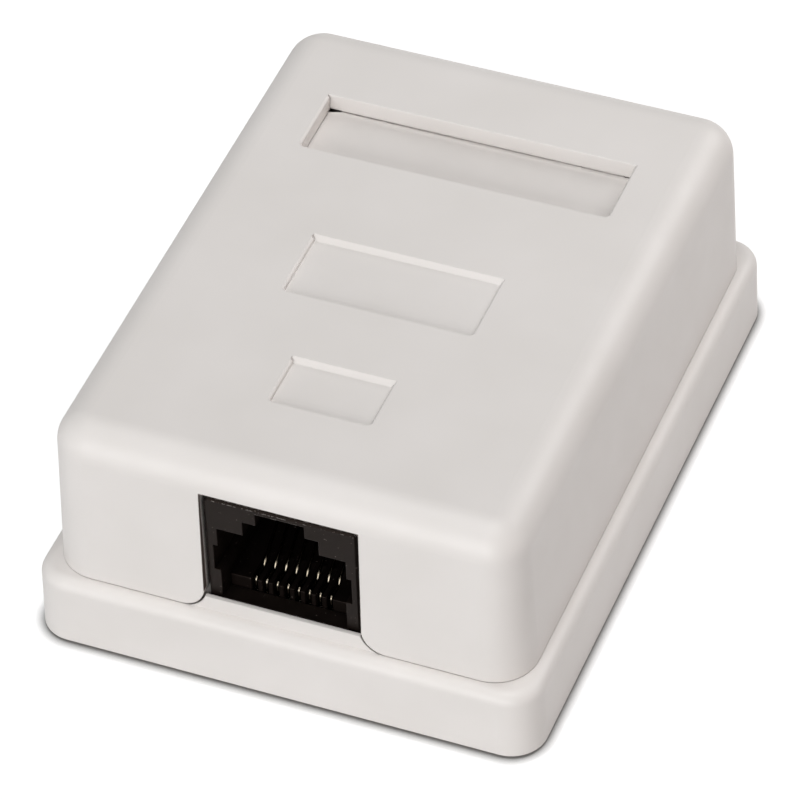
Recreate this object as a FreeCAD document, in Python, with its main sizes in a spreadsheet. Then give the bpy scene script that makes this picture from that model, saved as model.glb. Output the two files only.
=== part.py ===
import FreeCAD, Part
import os

import Sketcher

# A surface-mount wall box for one 8-pin network socket: a base and a pull-off cover around a small
# circuit board that carries the socket and two four-wire terminal blocks.
# X runs across the front, the socket faces -Y and the origin is at the middle of the underside.

# Driving sizes in millimetres and degrees
SIZES = (
    ("base_width", 48.0, "base outline across the front"),
    ("base_length", 64.0, "base outline from front to rear"),
    ("base_height", 7.4, "height of the ledge that the cover stands over"),
    ("base_corner", 3.3, "upright corner radius of the base"),
    ("base_draft", 1.5, "draft angle of the base sides"),
    ("rim_round", 1.2, "round along the top edge of the base"),
    ("foot_break", 0.3, "bevel along the foot of the base"),
    ("floor_thickness", 2.0, "floor of the base"),
    ("skirt_thickness", 1.8, "outer skirt and ledge left round the cored rim"),
    ("ledge_width", 1.5, "how far the cover stands in from the base outline"),
    ("lip_height", 2.0, "lip of the base above the ledge, inside the cover"),
    ("lip_wall", 1.4, "thickness of that lip"),
    ("lip_clearance", 0.2, "gap between the lip and the cover"),
    ("lip_gap_side", 0.35, "room beside the socket where the lip is cut away"),
    ("seam_gap", 0.05, "gap between the ledge and the foot of the cover"),
    ("box_height", 24.4, "height of the closed box"),
    ("headroom", 2.15, "room between the socket body and the roof"),
    ("cover_corner", 4.0, "upright corner radius of the cover"),
    ("cover_draft", 2.0, "draft angle of the cover sides"),
    ("cover_round", 3.2, "round along the top edge of the cover"),
    ("cover_wall", 1.8, "side wall of the cover"),
    ("roof_thickness", 1.55, "top wall of the cover"),
    ("rib_width", 1.6, "stop ribs of the cover that stand on the lip"),
    ("rib_rise", 6.0, "height of the stop ribs"),
    ("rib_spacing", 36.0, "distance between the stop ribs of one side"),
    ("rib_seat", 1.1, "how far a stop rib reaches over the lip"),
    ("root_depth", 0.6, "how deep ribs and rails are rooted in the wall that carries them"),
    ("window_width", 30.0, "label window across"),
    ("window_length", 7.3, "label window from front to rear"),
    ("window_centre", 16.0, "label window behind the middle of the box"),
    ("mark_width", 18.0, "middle recess across"),
    ("mark_length", 7.8, "middle recess from front to rear"),
    ("mark_centre", -2.5, "middle recess behind the middle of the box"),
    ("symbol_width", 9.45, "front recess across"),
    ("symbol_length", 5.9, "front recess from front to rear"),
    ("symbol_centre", -17.1, "front recess behind the middle of the box"),
    ("recess_depth", 0.5, "depth of the two recesses"),
    ("recess_lean", 0.45, "how far the rear wall of a recess leans back"),
    ("window_lean", 0.15, "how far the rear wall of the label window leans back"),
    ("recess_corner", 0.4, "corner radius of the window and the recesses"),
    ("edge_break", 0.2, "small bevel on the edges of window, recesses and socket face"),
    ("label_width", 33.0, "label strip across"),
    ("label_thickness", 0.4, "label strip thickness"),
    ("label_lap", 1.15, "how far the label strip lies under the front edge of its window"),
    ("label_short", 0.2, "how far the label strip ends before the rear edge of its window"),
    ("label_clearance", 0.1, "play of the label strip above and in front"),
    ("nub_width", 0.5, "locating nubs on the rear edge of the label strip"),
    ("nub_spacing", 19.2, "distance between those nubs"),
    ("rail_length", 27.8, "rails that carry the label strip"),
    ("rail_wall", 1.0, "upright of a rail"),
    ("rail_foot", 0.8, "thickness of the foot of a rail"),
    ("rail_reach", 1.1, "how far the foot of a rail reaches under the strip"),
    ("rail_back", 0.1, "how far the rear rail stands behind the window edge"),
    ("jack_width", 14.3, "socket body across"),
    ("jack_height", 12.7, "socket body above the board"),
    ("jack_depth", 15.6, "socket body from face to rear"),
    ("jack_setback", 0.7, "socket face behind the front foot of the cover"),
    ("jack_corner", 0.5, "long edges of the socket body"),
    ("jack_underside", 0.6, "room between the socket body and the base under it"),
    ("opening_side_gap", 0.28, "gap between cover and socket at each side"),
    ("opening_top_gap", 0.5, "gap between cover and socket at the top"),
    ("opening_flare", 2.3, "outward round at the foot of the socket cut-out"),
    ("sill_height", 1.6, "sill of the base above the ledge"),
    ("sill_thickness", 0.4, "sill thickness"),
    ("sill_clearance", 0.2, "gap between the sill and the cover"),
    ("sill_inset", 0.05, "sill face behind the front foot of the cover"),
    ("lower_width", 11.8, "plug cavity below the side reliefs, across"),
    ("relief_depth", 0.45, "side reliefs of the plug cavity, depth at each side"),
    ("plug_width", 12.1, "plug cavity across"),
    ("shoulder_width", 7.15, "step between plug and latch, across"),
    ("latch_width", 4.6, "latch slot across"),
    ("mouth_floor", 0.8, "front bar under the plug cavity"),
    ("latch_roof", 0.53, "wall over the latch slot"),
    ("latch_height", 1.35, "latch slot above the step"),
    ("shoulder_height", 1.62, "step above the plug cavity"),
    ("plug_rise", 2.1, "plug cavity above the side reliefs"),
    ("relief_height", 2.98, "height of the side reliefs"),
    ("cavity_depth", 11.4, "depth of the plug cavity"),
    ("peg_radius", 1.0, "pegs of the base through the board"),
    ("peg_rise", 0.6, "pegs above the board"),
    ("hole_clearance", 0.15, "gap round pegs in the board"),
    ("stud_radius", 0.55, "plastic studs of the socket through the board"),
    ("stud_length", 2.2, "length of those studs"),
    ("stud_place", 9.6, "studs behind the socket face"),
    ("comb_setback", 1.75, "front of the contact carrier behind the socket face"),
    ("comb_height", 2.1, "contact carrier above the board"),
    ("tower_setback", 11.5, "rear comb behind the socket face"),
    ("tower_height", 8.9, "rear comb above the board"),
    ("carrier_clearance", 0.1, "gap between contact carrier and socket body"),
    ("contact_pitch", 1.016, "distance between two spring contacts"),
    ("contact_slot", 0.62, "slots of the comb"),
    ("comb_slot_depth", 1.5, "depth of the slots in the rear comb"),
    ("comb_slot_low", 3.6, "foot of the slots in the rear comb above the board"),
    ("comb_slot_high", 8.2, "top of the slots in the rear comb above the board"),
    ("spring_width", 0.46, "spring contact across"),
    ("spring_thickness", 0.36, "spring contact, sheet thickness"),
    ("spring_bend", 0.35, "bends of a spring contact: radius at its front corner, bevel at its foot"),
    ("spring_run", 0.4, "foot run of a spring contact above the board"),
    ("spring_crest", 2.03, "front corner of a spring contact above the board"),
    ("spring_inset", 0.4, "front run of a spring contact behind the front of the carrier"),
    ("spring_dip", 12.0, "fall of a spring contact behind its front corner"),
    ("knee_place", 1.95, "knee of a spring contact behind its front run"),
    ("knee_bend", 2.0, "bend radius of that knee"),
    ("spring_slope", 34.0, "rise of a spring contact from the knee to the rear"),
    ("spring_clearance", 0.12, "room round a spring contact in the carrier"),
    ("tail_first", 6.35, "front row of solder tails behind the socket face"),
    ("tail_pitch", 2.54, "distance between the two rows of solder tails"),
    ("tail_length", 1.2, "solder tails below the board"),
    ("tail_hole", 0.8, "square hole for a spring contact in the board"),
    ("post_radius", 2.0, "posts of the base"),
    ("post_inset", 3.2, "posts in from the edges of the board"),
    ("board_thickness", 1.6, "circuit board"),
    ("board_side_gap", 2.1, "room beside the board for its clips"),
    ("board_clearance", 0.25, "board behind the front wall of the tray"),
    ("wiring_space", 19.95, "room between the board and the rear wall of the tray"),
    ("clip_width", 5.0, "board clips along the board"),
    ("clip_thickness", 1.1, "board clips"),
    ("clip_gap", 0.15, "gap between a clip and the edge of the board"),
    ("clip_reach", 0.6, "nose of a clip over the board"),
    ("clip_play", 0.1, "gap between the nose and the board"),
    ("clip_nose", 1.5, "height of the nose"),
    ("clip_place", 15.0, "clips behind the front edge of the board"),
    ("terminal_pitch", 3.9, "distance between two wire slots"),
    ("terminal_end", 0.4, "extra length at the ends of a terminal block"),
    ("terminal_width", 7.0, "terminal block across"),
    ("terminal_height", 10.5, "terminal block above the board"),
    ("terminal_inset", 2.0, "terminal block in from the side edge of the board"),
    ("terminal_rear", 2.4, "terminal block in from the rear edge of the board"),
    ("wire_slot", 1.1, "wire slot"),
    ("wire_slot_depth", 6.5, "depth of a wire slot"),
    ("wire_lead", 0.8, "lead-in of a wire slot at each side"),
    ("wire_lead_depth", 1.6, "depth of that lead-in"),
    ("fork_thickness", 0.5, "forked terminal, sheet thickness"),
    ("fork_width", 2.6, "forked terminal, width"),
    ("fork_slit", 0.4, "slit of the fork"),
    ("fork_slit_depth", 4.2, "depth of the slit"),
    ("fork_lead", 0.28, "lead-in of the slit at each side"),
    ("fork_lead_depth", 0.55, "depth of that lead-in"),
    ("fork_drop", 1.9, "fork tips below the top of the block"),
    ("fork_rise", 0.6, "shoulder of the fork above the board"),
    ("fork_clearance", 0.1, "gap between a fork and its block"),
    ("fork_tail", 0.8, "solder tail of a fork, width"),
    ("fork_tail_hole", 1.1, "square hole for a fork tail in the board"),
    ("screw_radius", 2.1, "wall screw holes"),
    ("screw_sink", 1.2, "countersink of the wall screw holes"),
    ("driver_hole", 4.2, "hole in the board over the front screw, radius"),
    ("driver_margin", 1.5, "room between that hole and the socket"),
    ("screw_rear_inset", 7.6, "rear screw hole in from the rear wall of the tray"),
    ("port_width", 14.0, "cable opening in the floor, across"),
    ("port_margin", 1.5, "cable opening behind the board and before the rear screw"),
    ("port_corner", 1.5, "corner radius of the cable opening"),
    ("notch_width", 8.0, "cable notch in the rear of the cover"),
    ("notch_rise", 2.0, "straight sides of the cable notch"),
    ("tie_width", 8.4, "tie anchor across"),
    ("tie_depth", 2.6, "tie anchor from front to rear"),
    ("tie_height", 3.6, "tie anchor above the floor"),
    ("tie_gap_width", 4.8, "way under the tie anchor, across"),
    ("tie_gap_height", 2.0, "way under the tie anchor, height"),
    ("tie_inset", 0.8, "tie anchor in from the rear wall of the tray"),
    ("overcut", 1.0, "how far a cut runs past the face that it opens"),
)

CONTACTS = 8
TERMINALS_PER_BLOCK = 4

# Sizes and places worked out from the driving sizes, so that pieces which fit share one value
FITS = (
    ("cover_width", "dim.base_width - 2 * dim.ledge_width"),
    ("cover_length", "dim.base_length - 2 * dim.ledge_width"),
    ("cover_bottom", "dim.base_height + dim.seam_gap"),
    ("inner_width", "cover_width - 2 * dim.cover_wall"),
    ("inner_length", "cover_length - 2 * dim.cover_wall"),
    ("inner_corner", "dim.cover_corner - dim.cover_wall"),
    ("inner_bevel", "dim.cover_round - dim.cover_wall"),
    ("roof_under", "dim.box_height - dim.roof_thickness"),
    ("lip_width", "inner_width - 2 * dim.lip_clearance"),
    ("lip_length", "inner_length - 2 * dim.lip_clearance"),
    ("lip_corner", "inner_corner - dim.lip_clearance"),
    ("lip_top", "dim.base_height + dim.lip_height"),
    ("tray_width", "lip_width - 2 * dim.lip_wall"),
    ("tray_length", "lip_length - 2 * dim.lip_wall"),
    ("tray_corner", "lip_corner - dim.lip_wall"),
    ("tray_rear", "tray_length / 2"),
    ("rib_inner", "lip_width / 2 - dim.rib_seat"),
    ("rib_outer", "inner_width / 2 + dim.root_depth"),
    ("jack_top", "roof_under - dim.headroom"),
    ("board_top", "jack_top - dim.jack_height"),
    ("board_under", "board_top - dim.board_thickness"),
    ("post_height", "board_under - dim.floor_thickness"),
    ("board_width", "tray_width - 2 * dim.board_side_gap"),
    ("board_front", "dim.board_clearance - tray_length / 2"),
    ("board_rear", "tray_rear - dim.wiring_space"),
    ("tail_end", "board_under - dim.tail_length"),
    ("post_x", "board_width / 2 - dim.post_inset"),
    ("post_front", "board_front + dim.post_inset"),
    ("post_rear", "board_rear - dim.post_inset"),
    ("peg_hole", "dim.peg_radius + dim.hole_clearance"),
    ("clip_inner", "board_width / 2 + dim.clip_gap"),
    ("clip_outer", "clip_inner + dim.clip_thickness"),
    ("clip_nose_x", "board_width / 2 - dim.clip_reach"),
    ("clip_grip", "board_top + dim.clip_play"),
    ("clip_top", "clip_grip + dim.clip_nose"),
    ("clip_y", "board_front + dim.clip_place"),
    ("jack_front", "dim.jack_setback - cover_length / 2"),
    ("jack_rear", "jack_front + dim.jack_depth"),
    ("opening_half", "dim.jack_width / 2 + dim.opening_side_gap"),
    ("opening_top", "jack_top + dim.opening_top_gap"),
    ("flare_x", "opening_half + dim.opening_flare"),
    ("flare_z", "cover_bottom + dim.opening_flare"),
    ("sill_flare", "dim.opening_flare + dim.sill_clearance"),
    ("sill_top", "dim.base_height + dim.sill_height"),
    ("sill_half", "flare_x - sqrt(sill_flare ^ 2 - (flare_z - sill_top) ^ 2)"),
    ("sill_rear", "dim.sill_inset + dim.sill_thickness - cover_length / 2"),
    ("lip_gap_half", "dim.jack_width / 2 + dim.lip_gap_side"),
    ("lip_gap_floor", "min(dim.base_height; board_top - dim.jack_underside)"),
    ("mouth_bottom", "board_top + dim.mouth_floor"),
    ("latch_top", "jack_top - dim.latch_roof"),
    ("shoulder_top", "latch_top - dim.latch_height"),
    ("plug_top", "shoulder_top - dim.shoulder_height"),
    ("relief_top", "plug_top - dim.plug_rise"),
    ("relief_bottom", "relief_top - dim.relief_height"),
    ("stud_x", "(dim.jack_width + dim.lower_width) / 4"),
    ("stud_y", "jack_front + dim.stud_place"),
    ("stud_hole", "dim.stud_radius + dim.hole_clearance"),
    ("carrier_width", "dim.lower_width - 2 * dim.carrier_clearance"),
    ("carrier_front", "jack_front + dim.comb_setback"),
    ("carrier_top", "board_top + dim.comb_height"),
    ("tower_front", "jack_front + dim.tower_setback"),
    ("tower_top", "board_top + dim.tower_height"),
    ("spring_front", "carrier_front + dim.spring_inset"),
    ("spring_room", "dim.spring_thickness / 2 + dim.spring_clearance"),
    ("spring_low", "board_top + dim.spring_run"),
    ("spring_high", "board_top + dim.spring_crest"),
    ("spring_tip", "tower_front + dim.comb_slot_depth - 2 * dim.spring_clearance"),
    ("spring_turn", "dim.spring_bend * tan((90 + dim.spring_dip) / 2)"),
    ("spring_leave", "spring_front + spring_turn * cos(dim.spring_dip)"),
    ("spring_leave_z", "spring_high - spring_turn * sin(dim.spring_dip)"),
    ("knee_y", "spring_front + dim.knee_place"),
    ("knee_z", "spring_high - dim.knee_place * tan(dim.spring_dip)"),
    ("knee_turn", "dim.knee_bend * tan((dim.spring_dip + dim.spring_slope) / 2)"),
    ("knee_start", "knee_y - knee_turn * cos(dim.spring_dip)"),
    ("knee_start_z", "knee_z + knee_turn * sin(dim.spring_dip)"),
    ("knee_end", "knee_y + knee_turn * cos(dim.spring_slope)"),
    ("knee_end_z", "knee_z + knee_turn * sin(dim.spring_slope)"),
    ("spring_tip_z", "knee_z + (spring_tip - knee_y) * tan(dim.spring_slope)"),
    ("comb_floor", "knee_z - spring_room / cos(dim.spring_slope)"),
    ("comb_open_z", "carrier_top + dim.overcut"),
    ("comb_open", "knee_y + (comb_open_z - comb_floor) / tan(dim.spring_slope)"),
    ("tail_front", "jack_front + dim.tail_first"),
    ("tail_rear", "tail_front + dim.tail_pitch"),
    ("terminal_x", "board_width / 2 - dim.terminal_inset - dim.terminal_width / 2"),
    ("terminal_length", f"{TERMINALS_PER_BLOCK} * dim.terminal_pitch + 2 * dim.terminal_end"),
    ("terminal_y", "board_rear - dim.terminal_rear - terminal_length / 2"),
    ("terminal_first", f"terminal_y - {(TERMINALS_PER_BLOCK - 1) / 2} * dim.terminal_pitch"),
    ("terminal_top", "board_top + dim.terminal_height"),
    ("wire_floor", "terminal_top - dim.wire_slot_depth"),
    ("fork_top", "terminal_top - dim.fork_drop"),
    ("fork_foot", "board_top + dim.fork_rise"),
    ("fork_slit_floor", "fork_top - dim.fork_slit_depth"),
    ("screw_front_y", "jack_rear + dim.driver_margin + dim.driver_hole"),
    ("screw_rear_y", "tray_rear - dim.screw_rear_inset"),
    ("port_front", "board_rear + dim.port_margin"),
    ("port_rear", "screw_rear_y - dim.screw_radius - dim.screw_sink - dim.port_margin"),
    ("notch_spring", "cover_bottom + dim.notch_rise"),
    ("tie_top", "dim.floor_thickness + dim.tie_height"),
    ("tie_gap_top", "dim.floor_thickness + dim.tie_gap_height"),
    ("tie_rear", "tray_rear - dim.tie_inset"),
    ("window_front", "dim.window_centre - dim.window_length / 2"),
    ("window_rear", "dim.window_centre + dim.window_length / 2"),
    ("mark_rear", "dim.mark_centre + dim.mark_length / 2"),
    ("symbol_rear", "dim.symbol_centre + dim.symbol_length / 2"),
    ("label_front", "window_front - dim.label_lap"),
    ("label_rear", "window_rear - dim.label_short"),
    ("label_top", "roof_under - dim.label_clearance"),
    ("label_under", "label_top - dim.label_thickness"),
    ("rail_under", "label_under - dim.rail_foot"),
    ("rail_rear", "window_rear + dim.rail_back"),
    ("rail_front", "label_front - dim.label_clearance"),
    ("rail_root", "roof_under + dim.root_depth"),
)

LEVEL_TOLERANCE = 1e-4

doc = FreeCAD.newDocument("connection_box")


def fill_sheets():
    dim = doc.addObject("Spreadsheet::Sheet", "dim")
    for row, (alias, size, note) in enumerate(SIZES, start=1):
        dim.set(f"A{row}", note)
        dim.set(f"B{row}", str(size))
        dim.setAlias(f"B{row}", alias)
    fit = doc.addObject("Spreadsheet::Sheet", "fit")
    for row, (alias, formula) in enumerate(FITS, start=1):
        fit.set(f"A{row}", alias.replace("_", " "))
        fit.set(f"B{row}", "=" + formula)
        fit.setAlias(f"B{row}", alias)
    doc.recompute()
    return dim


sheet = fill_sheets()


def number(expression):
    return float(sheet.evalExpression(expression))


def new_body(label):
    body = doc.addObject("PartDesign::Body", label)
    body.Label = label
    return body


def origin_feature(body, role):
    return next(item for item in body.Origin.OriginFeatures if item.Role == role)


# A sketch on one of the body's own planes, moved along the normal of that plane.
# On XZ_Plane the normal is -Y, so a place on Y is given with its sign turned.
def new_sketch(body, name, plane, lift):
    sketch = body.newObject("Sketcher::SketchObject", name)
    sketch.AttachmentSupport = [(origin_feature(body, plane), "")]
    sketch.MapMode = "FlatFace"
    sketch.setExpression("AttachmentOffset.Base.z", lift)
    return sketch


def bind(sketch, constraints, expressions):
    first = sketch.ConstraintCount
    sketch.addConstraint(constraints)
    for index, expression in expressions:
        sketch.setExpression(f"Constraints[{first + index}]", expression)


# The short arc from start to end: turn is 1 where it runs counter-clockwise and -1 where it doesn't.
def short_arc(start, end, radius, turn):
    middle = (start + end) / 2
    chord = end - start
    rise = max(radius ** 2 - (chord.Length / 2) ** 2, 0) ** 0.5
    side = FreeCAD.Vector(-chord.y, chord.x, 0).normalize() * turn
    centre = middle + side * rise
    circle = Part.Circle(centre, FreeCAD.Vector(0, 0, 1), radius)
    first, last = (start, end) if turn > 0 else (end, start)
    return Part.ArcOfCircle(circle, circle.parameter(first), circle.parameter(last))


# Draws runs through corners given as expressions; arcs maps a run to its radius and its turn.
def outline(sketch, corners, arcs=None, closed=True):
    arcs = arcs or {}
    spots = [FreeCAD.Vector(number(x), number(y), 0) for x, y in corners]
    runs = len(spots) if closed else len(spots) - 1
    first = sketch.GeometryCount
    ends = []
    for run in range(runs):
        start = spots[run]
        end = spots[(run + 1) % len(spots)]
        if run in arcs:
            radius, turn = arcs[run]
            sketch.addGeometry(short_arc(start, end, number(radius), turn))
            ends.append((1, 2) if turn > 0 else (2, 1))
        else:
            sketch.addGeometry(Part.LineSegment(start, end))
            ends.append((1, 2))
    constraints = []
    expressions = []
    for run in range(runs if closed else runs - 1):
        following = (run + 1) % runs
        link = (first + run, ends[run][1], first + following, ends[following][0])
        constraints.append(Sketcher.Constraint("Coincident", *link))
    places = [(first + run, ends[run][0]) for run in range(runs)]
    if not closed:
        places.append((first + runs - 1, ends[-1][1]))
    for (line, end), (x, y) in zip(places, corners):
        for kind, expression in (("DistanceX", x), ("DistanceY", y)):
            expressions.append((len(constraints), expression))
            constraints.append(Sketcher.Constraint(kind, -1, 1, line, end, number(expression)))
    for run, (radius, turn) in arcs.items():
        expressions.append((len(constraints), radius))
        constraints.append(Sketcher.Constraint("Radius", first + run, number(radius)))
    bind(sketch, constraints, expressions)


def rectangle(sketch, left, right, front, rear):
    outline(sketch, [(left, front), (right, front), (right, rear), (left, rear)])


def square(sketch, x, y, side):
    rectangle(sketch, f"{x} - {side} / 2", f"{x} + {side} / 2", f"{y} - {side} / 2", f"{y} + {side} / 2")


def rounded_rectangle(sketch, width, length, radius, middle="0"):
    left = f"-{width} / 2"
    right = f"{width} / 2"
    front = f"{middle} - {length} / 2"
    rear = f"{middle} + {length} / 2"
    corners = [
        (f"{left} + {radius}", front),
        (f"{right} - {radius}", front),
        (right, f"{front} + {radius}"),
        (right, f"{rear} - {radius}"),
        (f"{right} - {radius}", rear),
        (f"{left} + {radius}", rear),
        (left, f"{rear} - {radius}"),
        (left, f"{front} + {radius}"),
    ]
    outline(sketch, corners, {run: (radius, 1) for run in (1, 3, 5, 7)})


def circle(sketch, x, y, radius):
    geometry = sketch.GeometryCount
    centre = FreeCAD.Vector(number(x), number(y), 0)
    sketch.addGeometry(Part.Circle(centre, FreeCAD.Vector(0, 0, 1), number(radius)))
    constraints = [
        Sketcher.Constraint("DistanceX", -1, 1, geometry, 3, number(x)),
        Sketcher.Constraint("DistanceY", -1, 1, geometry, 3, number(y)),
        Sketcher.Constraint("Radius", geometry, number(radius)),
    ]
    bind(sketch, constraints, [(0, x), (1, y), (2, radius)])


def extrude(body, kind, name, sketch, length, side="One side", turned=False, taper=None):
    feature = body.newObject(f"PartDesign::{kind}", name)
    feature.Profile = sketch
    feature.setExpression("Length", length)
    feature.SideType = side
    feature.Reversed = turned
    if taper:
        feature.setExpression("TaperAngle", taper)
    doc.recompute()
    return feature


def pad(body, name, sketch, length, **options):
    return extrude(body, "Pad", name, sketch, length, **options)


# A cut that takes nothing away points the wrong way, so the volume is compared.
def pocket(body, name, sketch, length, **options):
    before = body.Shape.Volume
    feature = extrude(body, "Pocket", name, sketch, length, **options)
    if feature.Shape.Volume >= before:
        raise RuntimeError(f"{body.Label}: {name} cuts nothing")
    return feature


def edge_names(shape, wanted):
    return [f"Edge{place}" for place, edge in enumerate(shape.Edges, start=1) if wanted(edge)]


def lies_at(edge, axis, place):
    box = edge.BoundBox
    low = getattr(box, f"{axis}Min")
    high = getattr(box, f"{axis}Max")
    return abs(low - place) < LEVEL_TOLERANCE and abs(high - place) < LEVEL_TOLERANCE


def dress_edges(body, kind, name, size, wanted):
    base = body.Tip
    feature = body.newObject(f"PartDesign::{kind}", name)
    feature.Base = (base, edge_names(base.Shape, wanted))
    feature.setExpression("Radius" if kind == "Fillet" else "Size", size)
    doc.recompute()
    return feature


def pattern(body, name, originals, axis, length, count):
    feature = body.newObject("PartDesign::LinearPattern", name)
    feature.Originals = originals
    feature.Direction = (origin_feature(body, axis), [""])
    feature.setExpression("Length", length)
    feature.Occurrences = count
    body.Tip = feature
    doc.recompute()
    return feature


# Base: a drafted plinth with a cored rim, a tray and a lip that locates the cover
def make_base():
    body = new_body("base")
    plinth = new_sketch(body, "plinth_outline", "XY_Plane", "0")
    rounded_rectangle(plinth, "dim.base_width", "dim.base_length", "dim.base_corner")
    pad(body, "plinth", plinth, "dim.base_height", taper="-dim.base_draft")
    ledge = number("dim.base_height")
    dress_edges(body, "Fillet", "rim", "dim.rim_round", lambda edge: lies_at(edge, "Z", ledge))
    dress_edges(body, "Chamfer", "foot", "dim.foot_break", lambda edge: lies_at(edge, "Z", 0))
    lip = new_sketch(body, "lip_outline", "XY_Plane", "dim.base_height")
    rounded_rectangle(lip, "fit.lip_width", "fit.lip_length", "fit.lip_corner")
    pad(body, "lip", lip, "dim.lip_height")
    tray = new_sketch(body, "tray_outline", "XY_Plane", "fit.lip_top")
    rounded_rectangle(tray, "fit.tray_width", "fit.tray_length", "fit.tray_corner")
    pocket(body, "tray", tray, "fit.lip_top - dim.floor_thickness")
    core = new_sketch(body, "rim_core_outline", "XY_Plane", "0")
    skirt = ("(dim.base_width - 2 * dim.skirt_thickness)", "(dim.base_length - 2 * dim.skirt_thickness)")
    rounded_rectangle(core, *skirt, "(dim.base_corner - dim.skirt_thickness)")
    rounded_rectangle(core, "fit.lip_width", "fit.lip_length", "fit.lip_corner")
    pocket(body, "rim_core", core, "dim.base_height - dim.skirt_thickness", turned=True)
    cut_lip(body)
    add_sill(body)
    add_board_seats(body)
    add_tie_anchor(body)
    open_floor(body)
    return body


# The lip stops beside the socket and beside the cable notch.
def cut_lip(body):
    inner = "(fit.tray_rear - dim.overcut)"
    socket_gap = new_sketch(body, "socket_gap_outline", "XY_Plane", "fit.lip_top")
    rectangle(socket_gap, "-fit.lip_gap_half", "fit.lip_gap_half", "fit.sill_rear", f"-{inner}")
    pocket(body, "socket_gap", socket_gap, "fit.lip_top - fit.lip_gap_floor")
    cable_gap = new_sketch(body, "cable_gap_outline", "XY_Plane", "fit.lip_top")
    outer = "fit.lip_length / 2 + dim.overcut"
    rectangle(cable_gap, "-dim.notch_width / 2", "dim.notch_width / 2", inner, outer)
    pocket(body, "cable_gap", cable_gap, "dim.lip_height")


# The sill closes the foot of the socket cut-out and follows the rounds of the cover there.
def add_sill(body):
    sill = new_sketch(body, "sill_outline", "XZ_Plane", "-fit.sill_rear")
    foot = "dim.base_height - dim.root_depth"
    start = "fit.flare_z - fit.sill_flare"
    corners = [
        ("-fit.flare_x", foot),
        ("fit.flare_x", foot),
        ("fit.flare_x", start),
        ("fit.sill_half", "fit.sill_top"),
        ("-fit.sill_half", "fit.sill_top"),
        ("-fit.flare_x", start),
    ]
    outline(sill, corners, {2: ("fit.sill_flare", -1), 4: ("fit.sill_flare", -1)})
    pad(body, "sill", sill, "dim.sill_thickness")


# Four posts, two of them with pegs, and a clip at each side hold the circuit board.
def add_board_seats(body):
    posts = new_sketch(body, "post_outlines", "XY_Plane", "dim.floor_thickness")
    pegs = new_sketch(body, "peg_outlines", "XY_Plane", "fit.board_under")
    for x in ("-fit.post_x", "fit.post_x"):
        circle(posts, x, "fit.post_front", "dim.post_radius")
        circle(posts, x, "fit.post_rear", "dim.post_radius")
        circle(pegs, x, "fit.post_front", "dim.peg_radius")
    pad(body, "posts", posts, "fit.post_height")
    pad(body, "pegs", pegs, "dim.board_thickness + dim.peg_rise")
    clips = new_sketch(body, "clip_outlines", "XZ_Plane", "-fit.clip_y")
    for side in ("", "-"):
        corners = [
            (f"{side}fit.clip_inner", "dim.floor_thickness"),
            (f"{side}fit.clip_outer", "dim.floor_thickness"),
            (f"{side}fit.clip_outer", "fit.clip_top"),
            (f"{side}fit.clip_inner", "fit.clip_top"),
            (f"{side}fit.clip_nose_x", "fit.clip_grip"),
            (f"{side}fit.clip_inner", "fit.clip_grip"),
        ]
        outline(clips, corners)
    pad(body, "clips", clips, "dim.clip_width", side="Symmetric")


# A low bridge on the floor, for the tie that holds the cable
def add_tie_anchor(body):
    tie = new_sketch(body, "tie_outline", "XZ_Plane", "-fit.tie_rear")
    corners = [
        ("-dim.tie_width / 2", "dim.floor_thickness"),
        ("-dim.tie_gap_width / 2", "dim.floor_thickness"),
        ("-dim.tie_gap_width / 2", "fit.tie_gap_top"),
        ("dim.tie_gap_width / 2", "fit.tie_gap_top"),
        ("dim.tie_gap_width / 2", "dim.floor_thickness"),
        ("dim.tie_width / 2", "dim.floor_thickness"),
        ("dim.tie_width / 2", "fit.tie_top"),
        ("-dim.tie_width / 2", "fit.tie_top"),
    ]
    outline(tie, corners)
    pad(body, "tie_anchor", tie, "dim.tie_depth")


# Two countersunk screw holes and the opening for a cable that comes out of the wall
def open_floor(body):
    holes = new_sketch(body, "floor_outlines", "XY_Plane", "dim.floor_thickness")
    circle(holes, "0", "fit.screw_front_y", "dim.screw_radius")
    circle(holes, "0", "fit.screw_rear_y", "dim.screw_radius")
    port = ("(fit.port_rear - fit.port_front)", "dim.port_corner", "(fit.port_front + fit.port_rear) / 2")
    rounded_rectangle(holes, "dim.port_width", *port)
    pocket(body, "floor_holes", holes, "dim.floor_thickness")
    floor = number("dim.floor_thickness")
    radius = number("dim.screw_radius")

    def is_screw_rim(edge):
        round_edge = isinstance(edge.Curve, Part.Circle)
        return round_edge and abs(edge.Curve.Radius - radius) < LEVEL_TOLERANCE and lies_at(edge, "Z", floor)

    dress_edges(body, "Chamfer", "countersinks", "dim.screw_sink", is_screw_rim)


# Cover: a drafted cap with large top rounds, window, recesses and socket cut-out
def make_cover():
    body = new_body("cover")
    shell = new_sketch(body, "shell_outline", "XY_Plane", "fit.cover_bottom")
    rounded_rectangle(shell, "fit.cover_width", "fit.cover_length", "dim.cover_corner")
    pad(body, "shell", shell, "dim.box_height - fit.cover_bottom", taper="-dim.cover_draft")
    top = number("dim.box_height")
    dress_edges(body, "Fillet", "top_round", "dim.cover_round", lambda edge: lies_at(edge, "Z", top))
    hollow = new_sketch(body, "hollow_outline", "XY_Plane", "fit.cover_bottom")
    rounded_rectangle(hollow, "fit.inner_width", "fit.inner_length", "fit.inner_corner")
    depth = "fit.roof_under - fit.cover_bottom"
    pocket(body, "hollow", hollow, depth, turned=True, taper="-dim.cover_draft")
    roof = number("fit.roof_under")
    dress_edges(body, "Chamfer", "inner_bevel", "fit.inner_bevel", lambda edge: lies_at(edge, "Z", roof))
    add_label_rails(body)
    add_stop_ribs(body)
    open_roof(body)
    open_front(body)
    open_rear(body)
    return body


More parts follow.
